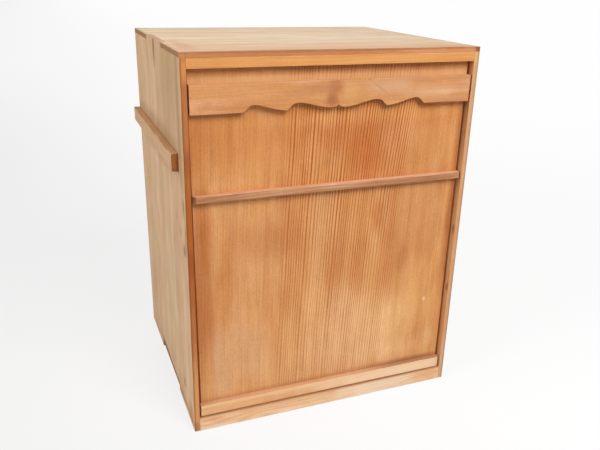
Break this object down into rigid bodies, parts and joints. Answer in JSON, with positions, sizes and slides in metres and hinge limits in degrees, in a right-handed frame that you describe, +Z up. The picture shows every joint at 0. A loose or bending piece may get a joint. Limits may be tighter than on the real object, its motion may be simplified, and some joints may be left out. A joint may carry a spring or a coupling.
{
  "type": "tea shelf storage box",
  "caption": "Upright wooden storage box for a tea ceremony shelf, with a lift-out front lid held by a rail and sill, a carved pull board and carry battens.",
  "frame": {"origin": "on the floor, under the middle of the box", "axes": "+Z up, the lid's face towards -Y, +X to the right of someone facing the lid"},
  "size_m": [0.4946, 0.404, 0.606],
  "materials": {
    "side_wood": "unfinished planed softwood, matt",
    "side_wood_rear": "unfinished planed softwood, matt",
    "top_wood": "unfinished planed softwood, matt",
    "inner_wood": "unfinished planed softwood, matt",
    "back_wood": "unfinished planed softwood, matt",
    "rail_wood": "unfinished planed softwood, matt",
    "sill_wood": "unfinished planed softwood, matt",
    "strip_wood": "unfinished planed softwood, matt",
    "carry_wood": "unfinished planed softwood, matt",
    "lid_plain_wood": "unfinished planed softwood, matt",
    "lid_fine_wood": "unfinished planed softwood, matt",
    "pull_wood": "unfinished planed softwood, matt",
    "middle_batten_wood": "unfinished planed softwood, matt",
    "base_batten_wood": "unfinished planed softwood, matt",
    "peg_wood": "unfinished planed softwood, matt"
  },
  "bodies": {
    "case": {"left_side_front_board": "side_wood", "left_side_rear_board": "side_wood_rear", "right_side_front_board": "side_wood", "right_side_rear_board": "side_wood_rear", "top_front_board": "top_wood", "top_rear_board": "top_wood", "bottom_front_board": "inner_wood", "bottom_rear_board": "inner_wood", "back_left_board": "back_wood", "back_centre_board": "back_wood", "back_right_board": "back_wood", "upper_front_rail": "rail_wood", "sill_rail": "sill_wood", "left_stop_strip": "strip_wood", "right_stop_strip": "strip_wood", "upper_stop_strip": "strip_wood", "left_carry_batten": "carry_wood", "right_carry_batten": "carry_wood", "top_joint_pegs": "peg_wood", "bottom_joint_pegs": "peg_wood", "rail_pegs": "peg_wood", "back_pegs": "peg_wood", "carry_batten_pegs": "peg_wood"},
    "lid": {"lid_left_board": "lid_plain_wood", "lid_centre_board": "lid_fine_wood", "lid_right_board": "lid_plain_wood", "carved_pull_board": "pull_wood", "middle_batten": "middle_batten_wood", "base_batten": "base_batten_wood", "lid_pegs": "peg_wood"}
  },
  "joints": [
    {"name": "lid_lift", "type": "slide", "parent": "case", "child": "lid", "axis": [0, 0, 1], "range_m": [0, 0.007]}
  ]
}
